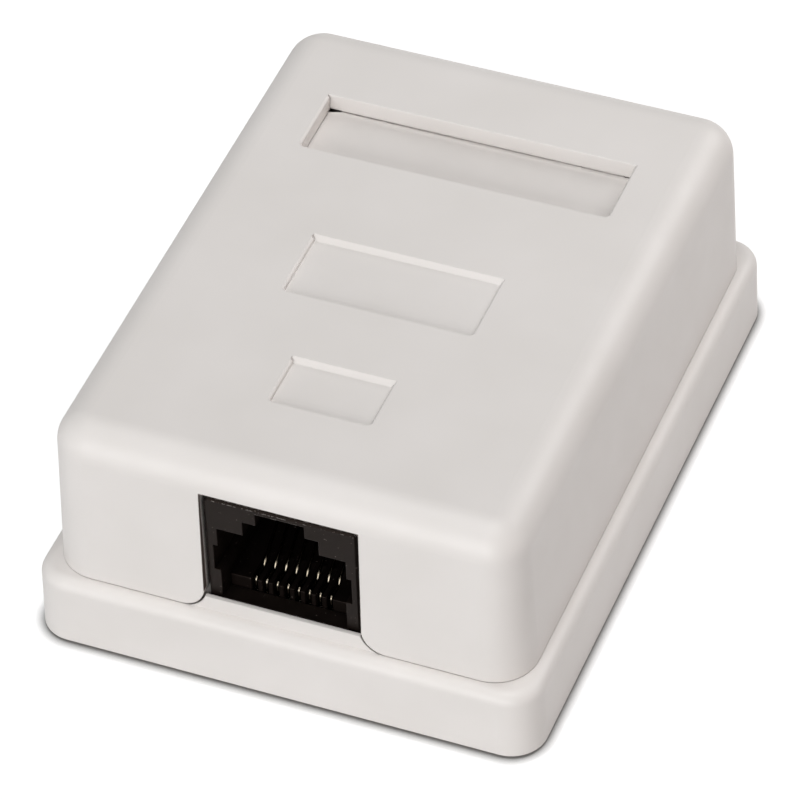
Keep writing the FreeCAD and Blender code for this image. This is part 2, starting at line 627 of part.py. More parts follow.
# Two rails under the roof: each has an upright and a foot that carries the label strip.
def add_label_rails(body):
    rails = new_sketch(body, "rail_outlines", "YZ_Plane", "0")
    front = [
        ("fit.rail_front", "fit.rail_root"),
        ("fit.rail_front - dim.rail_wall", "fit.rail_root"),
        ("fit.rail_front - dim.rail_wall", "fit.rail_under"),
        ("fit.label_front + dim.rail_reach", "fit.rail_under"),
        ("fit.label_front + dim.rail_reach", "fit.label_under"),
        ("fit.rail_front", "fit.label_under"),
    ]
    rear = [
        ("fit.rail_rear", "fit.rail_root"),
        ("fit.rail_rear", "fit.label_under"),
        ("fit.label_rear - dim.rail_reach", "fit.label_under"),
        ("fit.label_rear - dim.rail_reach", "fit.rail_under"),
        ("fit.rail_rear + dim.rail_wall", "fit.rail_under"),
        ("fit.rail_rear + dim.rail_wall", "fit.rail_root"),
    ]
    outline(rails, front)
    outline(rails, rear)
    pad(body, "label_rails", rails, "dim.rail_length", side="Symmetric")


# Ribs on the side walls stand on the lip of the base and carry the cover.
def add_stop_ribs(body):
    ribs = new_sketch(body, "rib_outlines", "XY_Plane", "fit.lip_top")
    for middle in ("-dim.rib_spacing / 2", "dim.rib_spacing / 2"):
        front = f"{middle} - dim.rib_width / 2"
        rear = f"{middle} + dim.rib_width / 2"
        rectangle(ribs, "fit.rib_inner", "fit.rib_outer", front, rear)
        rectangle(ribs, "-fit.rib_outer", "-fit.rib_inner", front, rear)
    pad(body, "stop_ribs", ribs, "dim.rib_rise")


def open_roof(body):
    window = new_sketch(body, "window_outline", "XY_Plane", "dim.box_height")
    outline_frame(window, "window", "fit.window_rear")
    pocket(body, "label_window", window, "dim.roof_thickness")
    recesses = new_sketch(body, "recess_outlines", "XY_Plane", "dim.box_height")
    for name in ("mark", "symbol"):
        outline_frame(recesses, name, f"fit.{name}_rear - dim.recess_lean")
    pocket(body, "recesses", recesses, "dim.recess_depth")
    top = number("dim.box_height")
    frames = [
        (number(f"dim.{name}_width / 2"), number(f"dim.{name}_length / 2"), number(f"dim.{name}_centre"))
        for name in ("window", "mark", "symbol")
    ]

    def is_frame_edge(edge):
        box = edge.BoundBox
        inside = False
        for half_width, half_length, middle in frames:
            across = max(abs(box.XMin), abs(box.XMax)) < half_width + LEVEL_TOLERANCE
            along = max(abs(box.YMin - middle), abs(box.YMax - middle)) < half_length + LEVEL_TOLERANCE
            inside = inside or (across and along)
        return inside and lies_at(edge, "Z", top)

    dress_edges(body, "Chamfer", "frame_edges", "dim.edge_break", is_frame_edge)
    lean_rear_wall(body, "window", "fit.window_rear", "dim.window_lean", "dim.roof_thickness")
    for name in ("mark", "symbol"):
        lean_rear_wall(body, name, f"fit.{name}_rear - dim.recess_lean", "dim.recess_lean", "dim.recess_depth")


# Window and recesses have rounds at their front corners only.
def outline_frame(sketch, name, rear):
    half = f"dim.{name}_width / 2"
    front = f"dim.{name}_centre - dim.{name}_length / 2"
    corners = [
        (f"{half} - dim.recess_corner", front),
        (half, f"{front} + dim.recess_corner"),
        (half, rear),
        (f"-{half}", rear),
        (f"-{half}", f"{front} + dim.recess_corner"),
        (f"-{half} + dim.recess_corner", front),
    ]
    corner = ("dim.recess_corner", 1)
    outline(sketch, corners, {0: corner, 4: corner})


# A rear wall leans back from its foot to the roof, over the whole width of the bevelled frame.
def lean_rear_wall(body, name, foot, lean, depth):
    slope = new_sketch(body, f"{name}_slope", "YZ_Plane", "0")
    above = "dim.box_height + dim.overcut"
    corners = [
        (foot, f"dim.box_height - {depth}"),
        (f"{foot} + {lean}", "dim.box_height"),
        (f"{foot} + {lean}", above),
        (foot, above),
    ]
    outline(slope, corners)
    pocket(body, f"{name}_rear_wall", slope, f"dim.{name}_width + 2 * dim.edge_break", side="Symmetric")


# The cut-out is open at its foot, where the cover turns outward in two rounds.
def open_front(body):
    opening = new_sketch(body, "opening_outline", "XZ_Plane", "fit.cover_length / 2 + dim.overcut")
    foot = "fit.cover_bottom - dim.overcut"
    corners = [
        ("-fit.flare_x", foot),
        ("fit.flare_x", foot),
        ("fit.flare_x", "fit.cover_bottom"),
        ("fit.opening_half", "fit.flare_z"),
        ("fit.opening_half", "fit.opening_top - dim.recess_corner"),
        ("fit.opening_half - dim.recess_corner", "fit.opening_top"),
        ("-fit.opening_half + dim.recess_corner", "fit.opening_top"),
        ("-fit.opening_half", "fit.opening_top - dim.recess_corner"),
        ("-fit.opening_half", "fit.flare_z"),
        ("-fit.flare_x", "fit.cover_bottom"),
    ]
    flare = ("dim.opening_flare", -1)
    corner = ("dim.recess_corner", 1)
    outline(opening, corners, {2: flare, 4: corner, 6: corner, 8: flare})
    pocket(body, "socket_opening", opening, "dim.cover_wall + 2 * dim.overcut")


# An arched notch lets a cable in at the rear.
def open_rear(body):
    inside = "dim.cover_wall + dim.overcut - fit.cover_length / 2"
    notch = new_sketch(body, "notch_outline", "XZ_Plane", inside)
    foot = "fit.cover_bottom - dim.overcut"
    crown = ("dim.notch_width / 2", 1)
    corners = [
        ("-dim.notch_width / 2", foot),
        ("dim.notch_width / 2", foot),
        ("dim.notch_width / 2", "fit.notch_spring"),
        ("0", "fit.notch_spring + dim.notch_width / 2"),
        ("-dim.notch_width / 2", "fit.notch_spring"),
    ]
    outline(notch, corners, {2: crown, 3: crown})
    pocket(body, "cable_notch", notch, "dim.cover_wall + 2 * dim.overcut")


# Label strip with two nubs that keep its rear edge off the rail
def make_label():
    body = new_body("label_insert")
    strip = new_sketch(body, "strip_outline", "XY_Plane", "fit.label_under")
    nub = "dim.nub_spacing / 2"
    half = "dim.nub_width / 2"
    corners = [
        ("-dim.label_width / 2", "fit.label_front"),
        ("dim.label_width / 2", "fit.label_front"),
        ("dim.label_width / 2", "fit.label_rear"),
        (f"{nub} + {half}", "fit.label_rear"),
        (f"{nub} + {half}", "fit.rail_rear"),
        (f"{nub} - {half}", "fit.rail_rear"),
        (f"{nub} - {half}", "fit.label_rear"),
        (f"-{nub} + {half}", "fit.label_rear"),
        (f"-{nub} + {half}", "fit.rail_rear"),
        (f"-{nub} - {half}", "fit.rail_rear"),
        (f"-{nub} - {half}", "fit.label_rear"),
        ("-dim.label_width / 2", "fit.label_rear"),
    ]
    outline(strip, corners)
    pad(body, "strip", strip, "dim.label_thickness")
    return body


def contact_x(index):
    return f"({index} - {(CONTACTS - 1) / 2}) * dim.contact_pitch"


def terminal_side(index):
    return "-" if index < TERMINALS_PER_BLOCK else ""


def terminal_y(index):
    return f"fit.terminal_first + {index % TERMINALS_PER_BLOCK} * dim.terminal_pitch"


def tail_y(index):
    return "fit.tail_rear" if index % 2 else "fit.tail_front"


# Circuit board with a hole for each peg, stud, contact tail and for the screwdriver
def make_board():
    body = new_body("circuit_board")
    plate = new_sketch(body, "plate_outline", "XY_Plane", "fit.board_under")
    rectangle(plate, "-fit.board_width / 2", "fit.board_width / 2", "fit.board_front", "fit.board_rear")
    pad(body, "plate", plate, "dim.board_thickness")
    holes = new_sketch(body, "hole_outlines", "XY_Plane", "fit.board_top")
    for side in ("-", ""):
        circle(holes, f"{side}fit.post_x", "fit.post_front", "fit.peg_hole")
        circle(holes, f"{side}fit.stud_x", "fit.stud_y", "fit.stud_hole")
    circle(holes, "0", "fit.screw_front_y", "dim.driver_hole")
    for index in range(CONTACTS):
        square(holes, contact_x(index), tail_y(index), "dim.tail_hole")
        square(holes, f"{terminal_side(index)}fit.terminal_x", terminal_y(index), "dim.fork_tail_hole")
    pocket(body, "holes", holes, "dim.board_thickness")
    return body


# Socket body with the stepped plug cavity, open below and behind for the contact carrier
def make_jack():
    body = new_body("jack_housing")
    block = new_sketch(body, "block_outline", "XZ_Plane", "-fit.jack_front")
    middle = "(fit.board_top + dim.jack_height / 2)"
    rounded_rectangle(block, "dim.jack_width", "dim.jack_height", "dim.jack_corner", middle)
    pad(body, "block", block, "dim.jack_depth", turned=True)
    face = number("fit.jack_front")
    dress_edges(body, "Chamfer", "face_edges", "dim.edge_break", lambda edge: lies_at(edge, "Y", face))
    cavity = new_sketch(body, "cavity_outline", "XZ_Plane", "-fit.jack_front")
    steps = [
        ("dim.lower_width / 2", "mouth_bottom", "relief_bottom"),
        ("(dim.plug_width / 2 + dim.relief_depth)", "relief_bottom", "relief_top"),
        ("dim.plug_width / 2", "relief_top", "plug_top"),
        ("dim.shoulder_width / 2", "plug_top", "shoulder_top"),
        ("dim.latch_width / 2", "shoulder_top", "latch_top"),
    ]
    right = []
    for half, low, high in steps:
        right.append((half, f"fit.{low}"))
        right.append((half, f"fit.{high}"))
    left = [(f"-{x}", z) for x, z in reversed(right)]
    outline(cavity, right + left)
    pocket(body, "cavity", cavity, "dim.cavity_depth")
    bay = new_sketch(body, "bay_outline", "XY_Plane", "fit.board_top")
    sides = ("-dim.lower_width / 2", "dim.lower_width / 2")
    rectangle(bay, *sides, "fit.carrier_front - dim.carrier_clearance", "fit.jack_rear + dim.overcut")
    pocket(body, "carrier_bay", bay, "dim.comb_height + dim.carrier_clearance", turned=True)
    rear = new_sketch(body, "rear_outline", "XZ_Plane", "-(fit.jack_front + dim.cavity_depth)")
    rectangle(rear, *sides, "fit.board_top - dim.overcut", "fit.tower_top + dim.carrier_clearance")
    pocket(body, "rear_bay", rear, "dim.jack_depth - dim.cavity_depth + dim.overcut")
    studs = new_sketch(body, "stud_outlines", "XY_Plane", "fit.board_top")
    for x in ("-fit.stud_x", "fit.stud_x"):
        circle(studs, x, "fit.stud_y", "dim.stud_radius")
    pad(body, "studs", studs, "dim.stud_length", turned=True)
    return body


# Contact carrier: a foot with a comb in front and a rear comb that guides the free contact ends
def make_carrier():
    body = new_body("contact_carrier")
    profile = new_sketch(body, "carrier_outline", "YZ_Plane", "0")
    rear = "fit.jack_rear - dim.carrier_clearance"
    corners = [
        ("fit.carrier_front", "fit.board_top"),
        (rear, "fit.board_top"),
        (rear, "fit.tower_top"),
        ("fit.tower_front", "fit.tower_top"),
        ("fit.tower_front", "fit.carrier_top"),
        ("fit.carrier_front", "fit.carrier_top"),
    ]
    outline(profile, corners)
    pad(body, "block", profile, "fit.carrier_width", side="Symmetric")
    slot = new_sketch(body, "slot_outlines", "YZ_Plane", contact_x(0))
    front = "fit.carrier_front - dim.overcut"
    under = "fit.board_top - dim.overcut"
    channel = "fit.spring_low + fit.spring_room"
    contact_channel = [
        (front, under),
        ("fit.tail_rear + fit.spring_room", under),
        ("fit.tail_rear + fit.spring_room", channel),
        ("fit.spring_front + fit.spring_room", channel),
        ("fit.spring_front + fit.spring_room", "fit.comb_floor"),
        ("fit.knee_y", "fit.comb_floor"),
        ("fit.comb_open", "fit.comb_open_z"),
        (front, "fit.comb_open_z"),
    ]
    outline(slot, contact_channel)
    sides = ("fit.tower_front - dim.overcut", "fit.tower_front + dim.comb_slot_depth")
    rectangle(slot, *sides, "fit.board_top + dim.comb_slot_low", "fit.board_top + dim.comb_slot_high")
    cut = pocket(body, "slot", slot, "dim.contact_slot", side="Symmetric")
    pattern(body, "slots", [cut], "X_Axis", f"{CONTACTS - 1} * dim.contact_pitch", CONTACTS)
    return body


# Spring contact: up through the board, forward along the foot, up and over the comb and back at a slope
def make_spring(index):
    body = new_body(f"jack_contact_{index + 1}")
    tail = tail_y(index)
    path = new_sketch(body, "path", "YZ_Plane", contact_x(index))
    corners = [
        (tail, "fit.tail_end"),
        (tail, "fit.spring_low - dim.spring_bend"),
        (f"{tail} - dim.spring_bend", "fit.spring_low"),
        ("fit.spring_front + dim.spring_bend", "fit.spring_low"),
        ("fit.spring_front", "fit.spring_low + dim.spring_bend"),
        ("fit.spring_front", "fit.spring_high - fit.spring_turn"),
        ("fit.spring_leave", "fit.spring_leave_z"),
        ("fit.knee_start", "fit.knee_start_z"),
        ("fit.knee_end", "fit.knee_end_z"),
        ("fit.spring_tip", "fit.spring_tip_z"),
    ]
    bends = {5: ("dim.spring_bend", -1), 7: ("dim.knee_bend", 1)}
    outline(path, corners, bends, closed=False)
    section = new_sketch(body, "section", "XY_Plane", "fit.tail_end")
    middle = contact_x(index)
    across = (f"{middle} - dim.spring_width / 2", f"{middle} + dim.spring_width / 2")
    rectangle(section, *across, f"{tail} - dim.spring_thickness / 2", f"{tail} + dim.spring_thickness / 2")
    doc.recompute()
    spring = body.newObject("PartDesign::AdditivePipe", "spring")
    spring.Profile = section
    spring.Spine = path
    spring.Transition = "Right corner"
    doc.recompute()
    return body


# Terminal block: four slots with lead-ins, and a cavity across each slot for its fork
def make_block(label, side):
    body = new_body(label)
    middle = f"{side}fit.terminal_x"
    block = new_sketch(body, "block_outline", "XY_Plane", "fit.board_top")
    ends = ("fit.terminal_y - fit.terminal_length / 2", "fit.terminal_y + fit.terminal_length / 2")
    rectangle(block, f"{middle} - dim.terminal_width / 2", f"{middle} + dim.terminal_width / 2", *ends)
    pad(body, "block", block, "dim.terminal_height")
    slot = new_sketch(body, "slot_outline", "YZ_Plane", middle)
    half = "dim.wire_slot / 2"
    lead = "(dim.wire_slot / 2 + dim.wire_lead)"
    neck = "fit.terminal_top - dim.wire_lead_depth"
    corners = [
        (f"fit.terminal_first - {half}", "fit.wire_floor"),
        (f"fit.terminal_first + {half}", "fit.wire_floor"),
        (f"fit.terminal_first + {half}", neck),
        (f"fit.terminal_first + {lead}", "fit.terminal_top"),
        (f"fit.terminal_first - {lead}", "fit.terminal_top"),
        (f"fit.terminal_first - {half}", neck),
    ]
    outline(slot, corners)
    slots = pocket(body, "slot", slot, "dim.terminal_width + 2 * dim.overcut", side="Symmetric")
    fork = new_sketch(body, "fork_outline", "XY_Plane", "fit.terminal_top")
    half_thick = "(dim.fork_thickness / 2 + dim.fork_clearance)"
    half_wide = "(dim.fork_width / 2 + dim.fork_clearance)"
    across = (f"{middle} - {half_thick}", f"{middle} + {half_thick}")
    rectangle(fork, *across, f"fit.terminal_first - {half_wide}", f"fit.terminal_first + {half_wide}")
    cavity = pocket(body, "fork_cavity", fork, "dim.terminal_height")
    length = f"{TERMINALS_PER_BLOCK - 1} * dim.terminal_pitch"
    pattern(body, "stations", [slots, cavity], "Y_Axis", length, TERMINALS_PER_BLOCK)
    return body


# Forked terminal, stamped from sheet, with its slit on top and its solder tail below
def make_fork(index):
    body = new_body(f"terminal_contact_{index + 1}")
    sheet_outline = new_sketch(body, "sheet_outline", "YZ_Plane", f"{terminal_side(index)}fit.terminal_x")
    middle = terminal_y(index)
    lead = "(dim.fork_slit / 2 + dim.fork_lead)"
    neck = "fit.fork_top - dim.fork_lead_depth"
    right = [
        ("dim.fork_tail / 2", "fit.tail_end"),
        ("dim.fork_tail / 2", "fit.fork_foot"),
        ("dim.fork_width / 2", "fit.fork_foot"),
        ("dim.fork_width / 2", "fit.fork_top"),
        (lead, "fit.fork_top"),
        ("dim.fork_slit / 2", neck),
        ("dim.fork_slit / 2", "fit.fork_slit_floor"),
    ]
    corners = [(f"{middle} + {y}", z) for y, z in right]
    corners += [(f"{middle} - {y}", z) for y, z in reversed(right)]
    outline(sheet_outline, corners)
    pad(body, "sheet", sheet_outline, "dim.fork_thickness", side="Symmetric")
    return body


def make_all():
    pieces = [make_base(), make_cover(), make_label(), make_board(), make_jack(), make_carrier()]
    pieces += [make_spring(index) for index in range(CONTACTS)]
    pieces += [make_block("terminal_block_left", "-"), make_block("terminal_block_right", "")]
    pieces += [make_fork(index) for index in range(CONTACTS)]
    doc.recompute()
    return pieces


def check(pieces):
    for item in doc.Objects:
        if "Invalid" in item.State or "Error" in item.State:
            raise RuntimeError(f"{item.Name} failed: {item.State}")
    for piece in pieces:
        shape = piece.Shape
        if shape.isNull() or not shape.isValid() or len(shape.Solids) != 1:
            raise RuntimeError(f"{piece.Label} isn't one valid solid")


def write(pieces):
    os.makedirs("parts", exist_ok=True)
    for piece in pieces:
        piece.Shape.exportStep(f"parts/{piece.Label}.step")
        print(piece.Label, round(piece.Shape.Volume, 3), "mm3")


pieces = make_all()
check(pieces)
write(pieces)
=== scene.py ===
import math

import bmesh
import bpy
from mathutils import Matrix, Vector


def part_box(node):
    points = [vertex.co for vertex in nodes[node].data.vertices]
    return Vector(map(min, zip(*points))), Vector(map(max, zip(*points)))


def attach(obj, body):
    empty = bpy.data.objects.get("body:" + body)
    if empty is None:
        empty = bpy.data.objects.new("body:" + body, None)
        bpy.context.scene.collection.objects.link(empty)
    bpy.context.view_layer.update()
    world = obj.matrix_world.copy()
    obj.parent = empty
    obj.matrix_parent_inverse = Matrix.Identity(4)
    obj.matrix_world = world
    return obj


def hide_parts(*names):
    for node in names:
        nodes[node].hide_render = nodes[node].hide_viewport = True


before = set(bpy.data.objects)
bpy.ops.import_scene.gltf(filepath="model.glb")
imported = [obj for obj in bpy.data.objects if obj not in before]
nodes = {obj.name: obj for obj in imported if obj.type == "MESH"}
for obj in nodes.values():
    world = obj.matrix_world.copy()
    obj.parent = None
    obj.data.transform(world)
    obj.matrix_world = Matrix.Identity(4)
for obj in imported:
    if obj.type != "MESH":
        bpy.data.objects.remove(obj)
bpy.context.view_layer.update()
scene = bpy.context.scene
mm = 0.001
print("frame loaded with", len(nodes), "pieces")

# What all finishes share
shared = {
    "patchDetail": 2.0,
    "grainDetail": 3.0,
    "noiseSpan": (0.3, 0.7),  # most of a noise lies in it
    "edgeSamples": 6,
}


# Colours are written as they look on screen, 0 to 255
def screenColour(red, green, blue):
    def toLinear(level):
        share = level / 255
        return share / 12.92 if share <= 0.04045 else ((share + 0.055) / 1.055) ** 2.4

    return (toLinear(red), toLinear(green), toLinear(blue), 1.0)


def startMaterial(name):
    material = bpy.data.materials.new(name)
    material.use_nodes = True
    return material, material.node_tree, material.node_tree.nodes["Principled BSDF"]


def addNode(tree, kind, **settings):
    node = tree.nodes.new(kind)
    for name, value in settings.items():
        setattr(node, name, value)
    return node


# Links what comes from a node, and sets a fixed number or colour
def feed(tree, socket, source):
    if isinstance(source, bpy.types.NodeSocket):
        tree.links.new(source, socket)
    else:
        socket.default_value = source


def addMath(tree, operation, first, second=0.0):
    node = addNode(tree, "ShaderNodeMath", operation=operation)
    feed(tree, node.inputs[0], first)
    feed(tree, node.inputs[1], second)
    return node.outputs[0]


# Carries one span of numbers over to another and holds the ends
def mapSpan(tree, source, start, end=(0.0, 1.0)):
    node = addNode(tree, "ShaderNodeMapRange")
    for name, value in zip(("From Min", "From Max", "To Min", "To Max"), (*start, *end)):
        node.inputs[name].default_value = value
    tree.links.new(source, node.inputs["Value"])
    return node.outputs["Result"]


def blendColours(tree, source, first, second):
    blend = addNode(tree, "ShaderNodeMix", data_type="RGBA")
    feed(tree, blend.inputs["A"], first)
    feed(tree, blend.inputs["B"], second)
    tree.links.new(source, blend.inputs["Factor"])
    return blend.outputs["Result"]


# A noise in the object's own metres, so a grain size is a real size
def addNoise(tree, grain, detail):
    place = addNode(tree, "ShaderNodeTexCoord")
    noise = addNode(tree, "ShaderNodeTexNoise")
    noise.inputs["Scale"].default_value = 1 / grain
    noise.inputs["Detail"].default_value = detail
    tree.links.new(place.outputs["Object"], noise.inputs["Vector"])
    return noise.outputs["Fac"]


# The face's direction, with sharp edges rounded for the light
def roundedNormal(tree, radius):
    bevel = addNode(tree, "ShaderNodeBevel", samples=shared["edgeSamples"])
    bevel.inputs["Radius"].default_value = radius
    return bevel.outputs["Normal"]


# One in the open, and less the more something closes in
def openness(tree, reach, samples):
    node = addNode(tree, "ShaderNodeAmbientOcclusion", samples=samples)
    node.inputs["Distance"].default_value = reach
    return node.outputs["AO"]


# One where the object's own place is within all limits, and nothing elsewhere
def withinLimits(tree, limits):
    place = addNode(tree, "ShaderNodeTexCoord")
    axes = addNode(tree, "ShaderNodeSeparateXYZ")
    tree.links.new(place.outputs["Object"], axes.inputs[0])
    sources = {"Y": axes.outputs["Y"], "Z": axes.outputs["Z"]}
    sources["aside"] = addMath(tree, "ABSOLUTE", axes.outputs["X"])
    result = 1.0
    for axis, side, limit in limits:
        result = addMath(tree, "MULTIPLY", result, addMath(tree, side, sources[axis], limit))
    return result


# One where the camera, a reflection or a clear part looks, and nothing for plain light
def seenRays(tree):
    path = addNode(tree, "ShaderNodeLightPath")
    seen = addMath(tree, "MAXIMUM", path.outputs["Is Camera Ray"], path.outputs["Is Glossy Ray"])
    return addMath(tree, "MAXIMUM", seen, path.outputs["Is Transmission Ray"])


# The base of every finish: soft patches of tone and polish, rounded edges and a fine grain
def startFinish(name, look):
    material, tree, shader = startMaterial(name)
    tone = mapSpan(tree, addNoise(tree, look["patch"], shared["patchDetail"]), shared["noiseSpan"])
    colour = blendColours(tree, tone, look["dark"], look["light"])
    tree.links.new(colour, shader.inputs["Base Color"])
    sheen = addNoise(tree, look["sheenPatch"], shared["patchDetail"])
    polish = mapSpan(tree, sheen, shared["noiseSpan"], look["roughness"])
    tree.links.new(polish, shader.inputs["Roughness"])
    shader.inputs["Metallic"].default_value = look.get("metal", 0.0)
    bump = addNode(tree, "ShaderNodeBump")
    bump.inputs["Strength"].default_value = look["grainStrength"]
    bump.inputs["Distance"].default_value = look["grainDepth"]
    tree.links.new(addNoise(tree, look["grain"], shared["grainDetail"]), bump.inputs["Height"])
    tree.links.new(roundedNormal(tree, look["edge"]), bump.inputs["Normal"])
    tree.links.new(bump.outputs["Normal"], shader.inputs["Normal"])
    return material, tree, shader, colour


def plainFinish(name, look):
    return startFinish(name, look)[0]


def dress(names, material):
    for name in names:
        slots = nodes[name].data.materials
        slots.clear()
        slots.append(material)


def addPiece(name, shape, finish):
    bmesh.ops.recalc_face_normals(shape, faces=shape.faces)
    mesh = bpy.data.meshes.new(name)
    shape.to_mesh(mesh)
    shape.free()
    mesh.materials.append(finish)
    piece = bpy.data.objects.new(name, mesh)
    scene.collection.objects.link(piece)
    return piece


# A place round the aim and above it, in degrees, that looks back at the aim
def standAt(aim, around, up, distance, roll=0.0):
    turn = Matrix.Rotation(math.radians(around), 4, "Z")
    tilt = Matrix.Rotation(math.radians(90 - up), 4, "X")
    spin = Matrix.Rotation(math.radians(roll), 4, "Z")
    return Matrix.Translation(aim) @ turn @ tilt @ spin @ Matrix.Translation((0, 0, distance))


# White moulding of base and cover
whiteMoulding = {
    "light": screenColour(231, 227, 224),
    "dark": screenColour(227, 223, 219.5),
    "patch": 9 * mm,
    "roughness": (0.44, 0.5),
    "sheenPatch": 2.5 * mm,
    "grain": 0.22 * mm,
    "grainDepth": 0.012 * mm,
    "grainStrength": 0.35,
    "edge": 0.18 * mm,
    # Painted shade for narrow gaps and crevices, and for the cut-out's walls round the socket
    "gapShadeColour": screenColour(74, 60, 53),
    "gapReach": 0.9 * mm,
    "gapSpan": (0.38, 0.1),  # openness, from no shade to full shade
    "gapSamples": 8,
    "cutOutSide": 0.32 * mm,  # from the socket to just past the cut-out's walls
    "cutOutTop": 0.54 * mm,
    "cutOutShade": 0.95,
}


# The shade on the cover's walls of the cut-out round the socket, and nothing elsewhere
def cutOutWalls(tree, look):
    low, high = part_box("jack_housing")
    limits = [
        ("aside", "LESS_THAN", high[0] + look["cutOutSide"]),
        ("Y", "LESS_THAN", low[1]),
        ("Z", "LESS_THAN", high[2] + look["cutOutTop"]),
        ("Z", "GREATER_THAN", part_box("base")[1][2]),
    ]
    return addMath(tree, "MULTIPLY", withinLimits(tree, limits), look["cutOutShade"])


def makeWhiteMoulding(look):
    material, tree, shader, plain = startFinish("white_moulding", look)
    # Painted shade: the colour darkens to a warm brown in narrow gaps and crevices, and on the cut-out's
    # walls round the socket
    paintedGapShade = mapSpan(tree, openness(tree, look["gapReach"], look["gapSamples"]), look["gapSpan"])
    shade = addMath(tree, "MAXIMUM", paintedGapShade, cutOutWalls(tree, look))
    tree.links.new(blendColours(tree, shade, plain, look["gapShadeColour"]), shader.inputs["Base Color"])
    return material


dress(["base", "cover"], makeWhiteMoulding(whiteMoulding))
print("white moulding done")

# Label strip: a smooth sheet with a thin rear lip on the rail, its rear edge cut in a slight curve
labelStrip = {
    "light": screenColour(227, 222.5, 219),
    "dark": screenColour(223, 218.5, 215),
    "patch": 6 * mm,
    "roughness": (0.36, 0.42),
    "sheenPatch": 6 * mm,
    "grain": 0.5 * mm,
    "grainDepth": 0.006 * mm,
    "grainStrength": 0.2,
    "edge": 0.08 * mm,
    "lipEnds": (-13.9 * mm, 15.2 * mm),
    "lipDrop": 0.05 * mm,
    "lipLeast": 0.08 * mm,
    "lipMost": 0.36 * mm,
    "notchEnd": -14.3 * mm,
    "notchDepth": 0.55 * mm,
    "nubPlace": 9.6 * mm,
    "nubWidth": 0.5 * mm,
    "steps": 24,
}


# A flat slab on an outline of points seen from above
def addSlab(shape, outline, low, high):
    bottom = [shape.verts.new((x, y, low)) for x, y in outline]
    top = [shape.verts.new((x, y, high)) for x, y in outline]
    shape.faces.new(reversed(bottom))
    shape.faces.new(top)
    for index in range(len(outline)):
        after = (index + 1) % len(outline)
        shape.faces.new((bottom[index], bottom[after], top[after], top[index]))


def makeLabelSheet(look, finish):
    low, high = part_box("label_insert")
    shape = bmesh.new()

    # The lip widens from the left end towards the right, behind a notch at that end
    def rearEdge(x):
        if x < look["notchEnd"]:
            return high[1] - look["notchDepth"]
        share = (x - low[0]) / (high[0] - low[0])
        widening = (look["lipMost"] - look["lipLeast"]) * math.sin(share * math.pi / 2)
        return high[1] - look["lipLeast"] - widening

    across = [low[0] + (high[0] - low[0]) * step / look["steps"] for step in range(look["steps"] + 1)]
    rear = [(x, rearEdge(x)) for x in reversed(across)]
    addSlab(shape, [(low[0], low[1]), (high[0], low[1])] + rear, low[2], high[2])
    lipEnds = look["lipEnds"]
    inner = [(x, rearEdge(x)) for x in across if lipEnds[0] < x < lipEnds[1]]
    lip = [(lipEnds[0], rearEdge(lipEnds[0]))] + inner + [(lipEnds[1], rearEdge(lipEnds[1]))]
    addSlab(shape, lip + [(lipEnds[1], high[1]), (lipEnds[0], high[1])], low[2], high[2] - look["lipDrop"])
    for middle in (-look["nubPlace"], look["nubPlace"]):
        left = middle - look["nubWidth"] / 2
        right = middle + look["nubWidth"] / 2
        nub = [(left, rearEdge(left)), (right, rearEdge(right)), (right, high[1]), (left, high[1])]
        addSlab(shape, nub, low[2], high[2])
    sheet = addPiece("label_sheet", shape, finish)
    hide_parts("label_insert")
    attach(sheet, "cover_unit")


labelFinish = plainFinish("label_strip", labelStrip)
dress(["label_insert"], labelFinish)
makeLabelSheet(labelStrip, labelFinish)
print("label strip done")

# Black moulding of the socket and its contact carrier, with dust, and paler specks along its top edges
# that are wear and a painted edge highlight
blackMoulding = {
    "light": screenColour(22, 17, 15),
    "dark": screenColour(17, 13, 11),
    "patch": 2 * mm,
    "roughness": (0.3, 0.42),
    "sheenPatch": 2 * mm,
    "grain": 0.15 * mm,
    "grainDepth": 0.01 * mm,
    "grainStrength": 0.4,
    "edge": 0.12 * mm,
    "gloss": 0.13,
    "glossTint": (1.0, 0.8, 0.7, 1.0),
    "speckRise": 0.04,  # of noise, from bare to a full speck
    "dust": screenColour(104, 97, 92),
    "dustGrain": 0.3 * mm,
    "dustLevel": 0.72,
    "wearAndHighlight": screenColour(176, 171, 167),
    "paleEdgeGrain": 0.35 * mm,
    "paleEdgeLevel": 0.52,
    "paleEdgeWidth": 0.12 * mm,
    "paleEdgeSpan": (0.98, 0.9),  # likeness of the rounded edge to the plain face, from none to the full pale edge
    "paleEdgeReach": 0.5 * mm,  # down from the top of the socket
}


# One where the noise is above its level, and nothing elsewhere
def specksOver(tree, grain, level, rise):
    return mapSpan(tree, addNoise(tree, grain, shared["patchDetail"]), (level, level + rise))


# One along sharp edges and nothing on plain faces
def edgeLine(tree, width, span):
    face = addNode(tree, "ShaderNodeNewGeometry")
    likeness = addNode(tree, "ShaderNodeVectorMath", operation="DOT_PRODUCT")
    tree.links.new(roundedNormal(tree, width), likeness.inputs[0])
    tree.links.new(face.outputs["Normal"], likeness.inputs[1])
    return mapSpan(tree, likeness.outputs["Value"], span)


